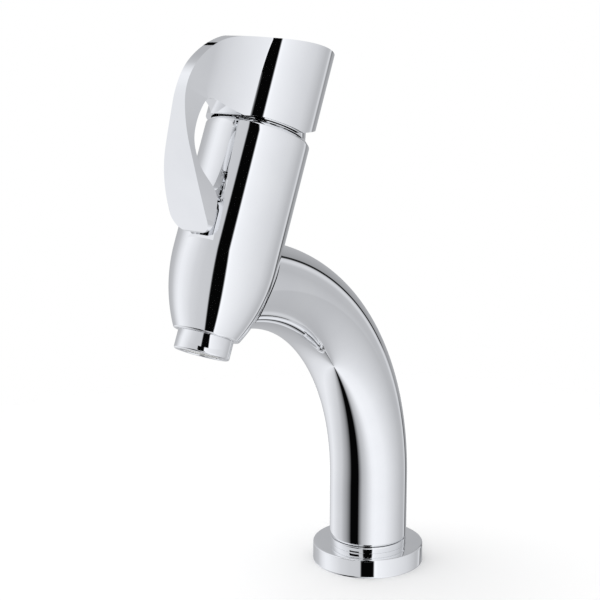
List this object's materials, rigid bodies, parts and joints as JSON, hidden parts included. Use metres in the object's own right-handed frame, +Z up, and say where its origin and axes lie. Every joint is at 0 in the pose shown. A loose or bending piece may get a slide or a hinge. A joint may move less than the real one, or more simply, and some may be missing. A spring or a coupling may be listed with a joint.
{
  "type": "kitchen faucet",
  "caption": "Kitchen faucet with a curved swivelling column, a slanted tubular head with an aerated outlet, and a cap whose looped lever lifts and turns to mix the water.",
  "frame": {"origin": "middle of the flange's underside, in the deck plane, on the axis the column swivels about", "axes": "+Z up along the swivel axis, -Y forward from the column towards the outlet and the lever, +X to the right of someone who stands in front of the outlet and faces the faucet"},
  "size_m": [0.058, 0.1773, 0.2764],
  "materials": {
    "chrome": "polished chrome plating on brass",
    "brass": "machined brass",
    "copper": "drawn copper tube",
    "rubber": "black seal rubber",
    "white_plastic": "white acetal",
    "ceramic": "lapped white alumina",
    "steel": "stainless steel",
    "grey_plastic": "grey moulded plug"
  },
  "bodies": {
    "base": {"base_flange": "chrome", "deck_gasket": "rubber", "base_post": "brass", "swivel_collar": "chrome", "lower_slide_ring": "white_plastic", "upper_slide_ring": "white_plastic"},
    "column": {"column": "chrome", "stop_screw": "steel", "hot_tube": "copper", "cold_tube": "copper", "tail_block": "brass", "head_body": "chrome", "aerator_housing": "chrome", "aerator_insert": "white_plastic", "aerator_screen": "steel", "aerator_washer": "rubber", "port_seals": "rubber", "cartridge_base": "white_plastic", "fixed_disc": "ceramic", "cartridge_housing": "white_plastic", "clamping_nut": "brass", "trim_sleeve": "chrome"},
    "rotor": {"stem_guide": "white_plastic", "pivot_pin": "steel"},
    "lever": {"lever": "chrome", "stem": "brass", "set_screw": "steel", "index_plug": "grey_plastic"},
    "disc": {"moving_disc": "ceramic", "disc_carrier": "white_plastic"}
  },
  "joints": [
    {"name": "column_swivel", "type": "hinge", "parent": "base", "child": "column", "pos_m": [0, 0, 0], "axis": [0, 0, 1], "range_deg": [-60, 60]},
    {"name": "lever_turn", "type": "hinge", "parent": "column", "child": "rotor", "pos_m": [0, -0.09311, 0.2334], "axis": [0, 0.4067, 0.9135], "range_deg": [-45, 45]},
    {"name": "lever_lift", "type": "hinge", "parent": "rotor", "child": "lever", "pos_m": [0, -0.09311, 0.2334], "axis": [-1, 0, 0], "range_deg": [0, 20]},
    {"name": "disc_slide", "type": "slide", "parent": "rotor", "child": "disc", "axis": [0, -0.9135, 0.4067], "range_m": [0, 0.0046]}
  ],
  "couplings": [
    {"joint": "disc_slide", "follows": "lever_lift", "m_per_rad": 0.013}
  ]
}
